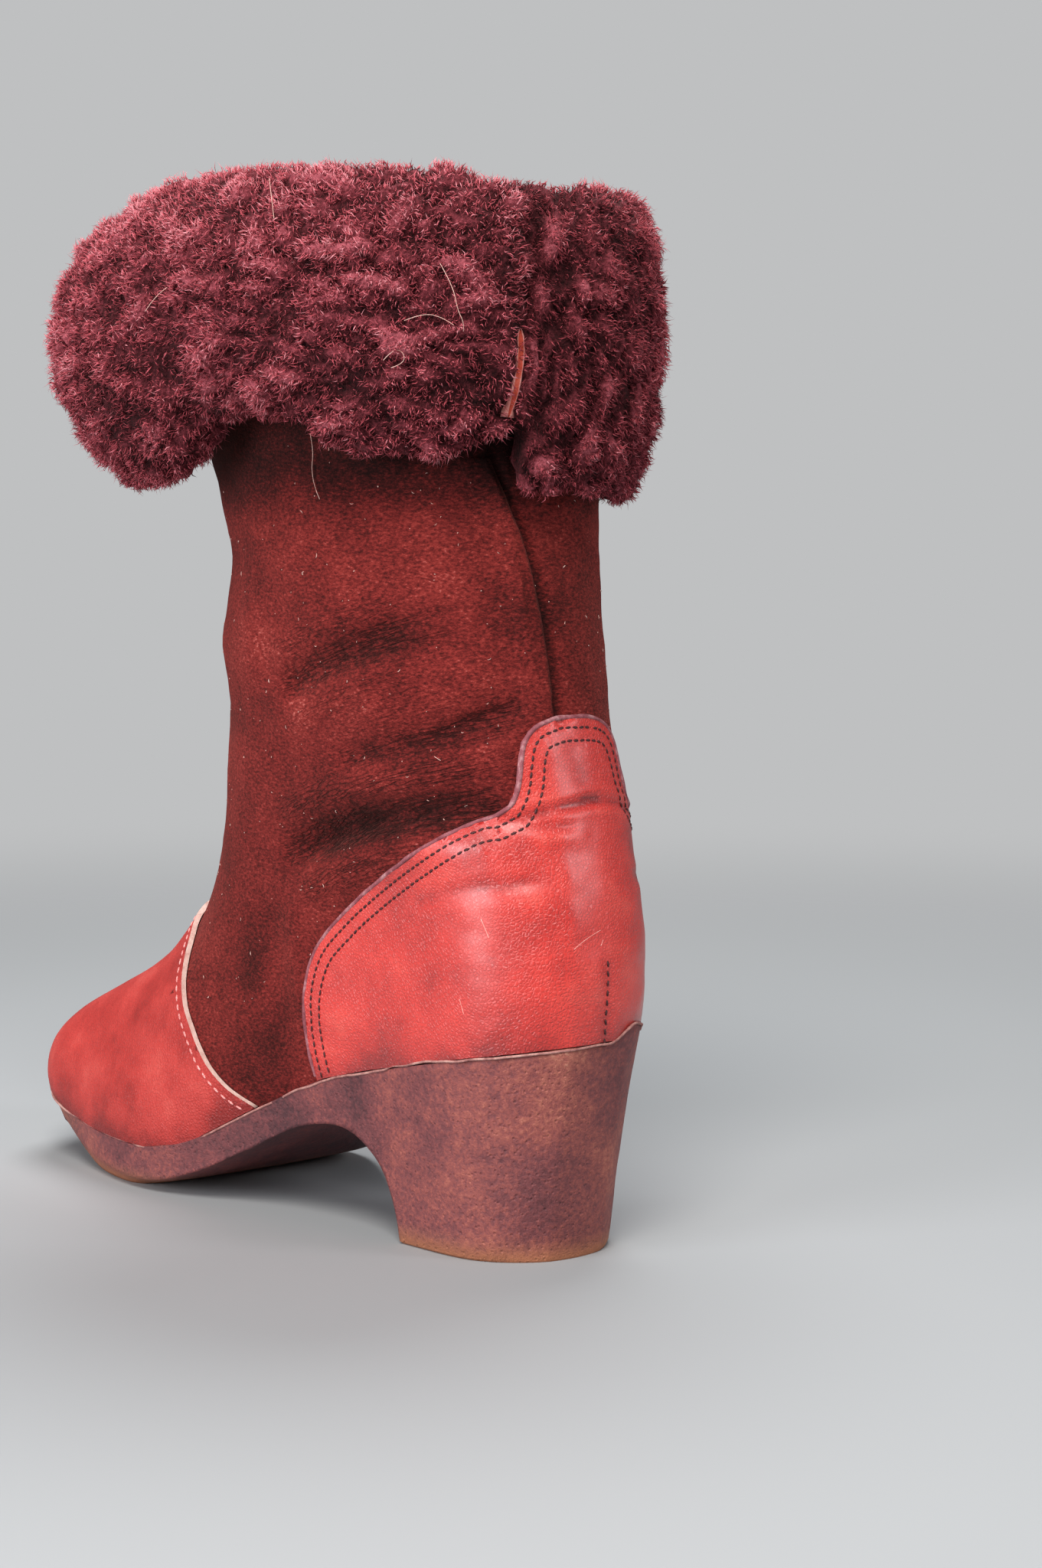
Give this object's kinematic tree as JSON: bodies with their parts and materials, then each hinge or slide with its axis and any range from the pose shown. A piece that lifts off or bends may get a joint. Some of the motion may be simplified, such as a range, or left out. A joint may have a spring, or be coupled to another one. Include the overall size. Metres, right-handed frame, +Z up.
{
  "type": "lined boot",
  "caption": "Left ankle boot of suede shearling with a turned-down fleece cuff, smooth leather vamp and heel counter, and a one-piece crepe sole with block heel.",
  "frame": {"origin": "on the floor, under the middle of the whole boot's box", "axes": "+Z up from the floor to the collar, -Y towards the toe, +X towards the wearer's left (the outer side of this left boot)"},
  "size_m": [0.1608, 0.2516, 0.3015],
  "materials": {
    "crepe_rubber": "matt pitted maroon-brown crepe with tan worn edges",
    "insole_board": "plain fibre board",
    "suede_hide": "napped deep red-brown suede",
    "vamp_leather": "smooth red leather, fine grain, soft sheen",
    "counter_leather": "smooth red leather, fine grain, soft sheen",
    "fleece": "deep burgundy wool pile"
  },
  "bodies": {
    "root": {"sole": "crepe_rubber", "insole": "insole_board", "upper": "suede_hide", "vamp": "vamp_leather", "counter": "counter_leather", "cuff": "fleece"}
  },
  "joints": []
}
